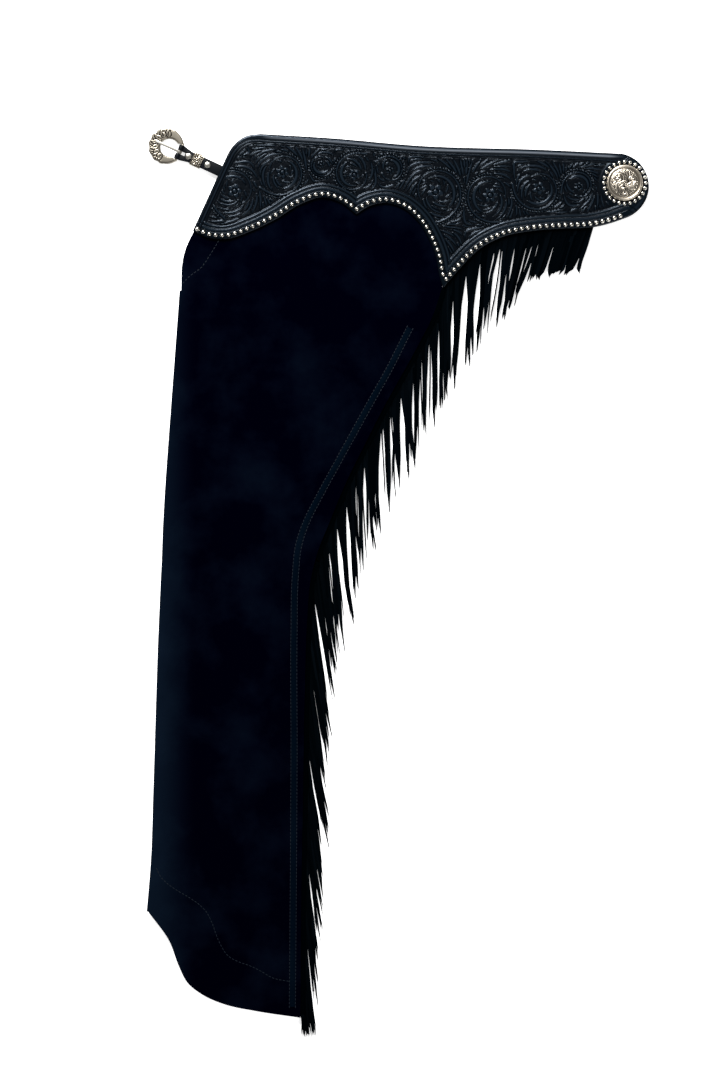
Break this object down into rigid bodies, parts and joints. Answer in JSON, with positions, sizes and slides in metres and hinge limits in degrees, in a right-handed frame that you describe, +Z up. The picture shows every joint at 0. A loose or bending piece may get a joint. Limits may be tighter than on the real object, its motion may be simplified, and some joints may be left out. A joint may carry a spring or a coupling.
{
  "type": "fringed western show chaps",
  "caption": "Black suede western show chaps with a tooled leather yoke, studs, a concho, long fringe and a front buckle strap, folded in half and laid flat.",
  "frame": {"origin": "middle of the folded garment's footprint, on the surface that it lies on", "axes": "+X from the front fold to the fringed back edge, +Y from the hems to the waist, +Z up off the surface, out of the near leg's outer side"},
  "size_m": [0.5872, 1.0632, 0.0134],
  "materials": {
    "suede": "napped black suede with a faint blue cast, matt",
    "tooled_leather": "tooled black leather, waxed, soft gloss",
    "strap_leather": "smooth black strap leather, burnished edges",
    "silver": "engraved silver plate, bright on the ridges and dark in the cuts",
    "nickel": "polished nickel screw heads"
  },
  "bodies": {
    "chaps": {"leg_near": "suede", "leg_far": "suede", "yoke_near": "tooled_leather", "yoke_far": "tooled_leather", "fringe_seat_near": "suede", "fringe_seat_far": "suede", "fringe_thigh_near": "suede", "fringe_thigh_far": "suede", "fringe_calf_near": "suede", "fringe_calf_far": "suede", "concho": "silver", "front_strap": "strap_leather", "strap_keeper": "silver", "strap_screw_front": "nickel", "strap_screw_back": "nickel", "billet_strap": "strap_leather", "back_tie": "strap_leather"},
    "buckle": {"buckle_frame": "silver"},
    "tongue": {"buckle_tongue": "silver"}
  },
  "joints": [
    {"name": "buckle_swing", "type": "hinge", "parent": "chaps", "child": "buckle", "pos_m": [-0.25595, 0.50306, 0.0033], "axis": [0.4226, 0.9063, 0], "range_deg": [0, 60]},
    {"name": "tongue_swing", "type": "hinge", "parent": "buckle", "child": "tongue", "pos_m": [-0.25595, 0.50306, 0.0033], "axis": [0.4226, 0.9063, 0], "range_deg": [0, 70]}
  ]
}
